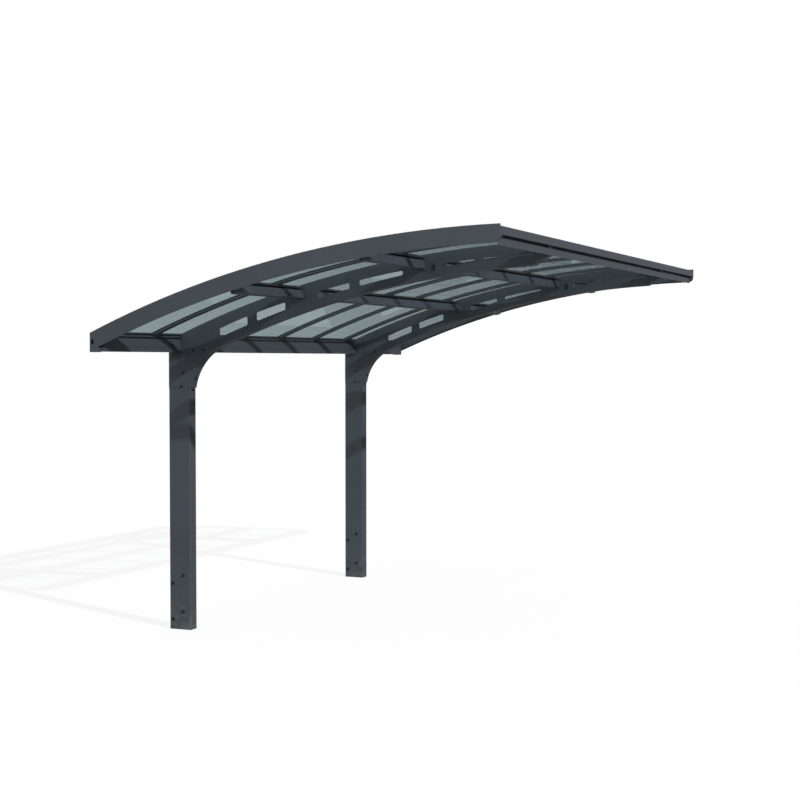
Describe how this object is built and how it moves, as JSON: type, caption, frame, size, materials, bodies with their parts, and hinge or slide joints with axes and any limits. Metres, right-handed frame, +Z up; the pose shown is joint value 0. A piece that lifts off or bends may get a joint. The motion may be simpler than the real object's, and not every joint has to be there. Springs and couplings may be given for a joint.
{
  "type": "cantilever carport",
  "caption": "Open carport with an arched roof of clear sheets, carried by two slotted cantilever arms on posts along its gutter side.",
  "frame": {"origin": "middle of the near post's foot, on the ground", "axes": "+X from the low gutter side towards the high front edge, +Y along the gutter towards the far post, +Z up"},
  "size_m": [2.89, 4.95, 2.7398],
  "materials": {
    "powder_coat": "satin dark blue-grey powder coat",
    "plastic_cap": "matte moulded end cap",
    "galvanised_steel": "hot-dip galvanised",
    "clear_sheet": "lightly tinted clear polycarbonate"
  },
  "bodies": {
    "root": {"foot_anchor_near": "galvanised_steel", "foot_anchor_far": "galvanised_steel", "post_near": "powder_coat", "post_far": "powder_coat", "splice_near": "galvanised_steel", "splice_far": "galvanised_steel", "knee_near": "powder_coat", "knee_far": "powder_coat", "arm_near": "powder_coat", "arm_far": "powder_coat", "gutter_floor": "powder_coat", "gutter_back": "powder_coat", "gutter_cap_near": "plastic_cap", "gutter_cap_far": "plastic_cap", "rear_rail": "powder_coat", "fascia_near": "powder_coat", "fascia_far": "powder_coat", "purlin_1_near": "powder_coat", "purlin_1_mid": "powder_coat", "purlin_1_far": "powder_coat", "purlin_2_near": "powder_coat", "purlin_2_mid": "powder_coat", "purlin_2_far": "powder_coat", "purlin_cleats": "plastic_cap", "front_rail_near": "powder_coat", "front_rail_mid": "powder_coat", "front_rail_far": "powder_coat", "front_profile": "powder_coat", "glazing_bar_1": "powder_coat", "glazing_bar_2": "powder_coat", "glazing_bar_3": "powder_coat", "glazing_bar_4": "powder_coat", "glazing_bar_5": "powder_coat", "glazing_bar_6": "powder_coat", "glazing_bar_7": "powder_coat", "roof_panel_1": "clear_sheet", "roof_panel_2": "clear_sheet", "roof_panel_3": "clear_sheet", "roof_panel_4": "clear_sheet", "roof_panel_5": "clear_sheet", "roof_panel_6": "clear_sheet", "roof_panel_7": "clear_sheet", "roof_panel_8": "clear_sheet"}
  },
  "joints": []
}
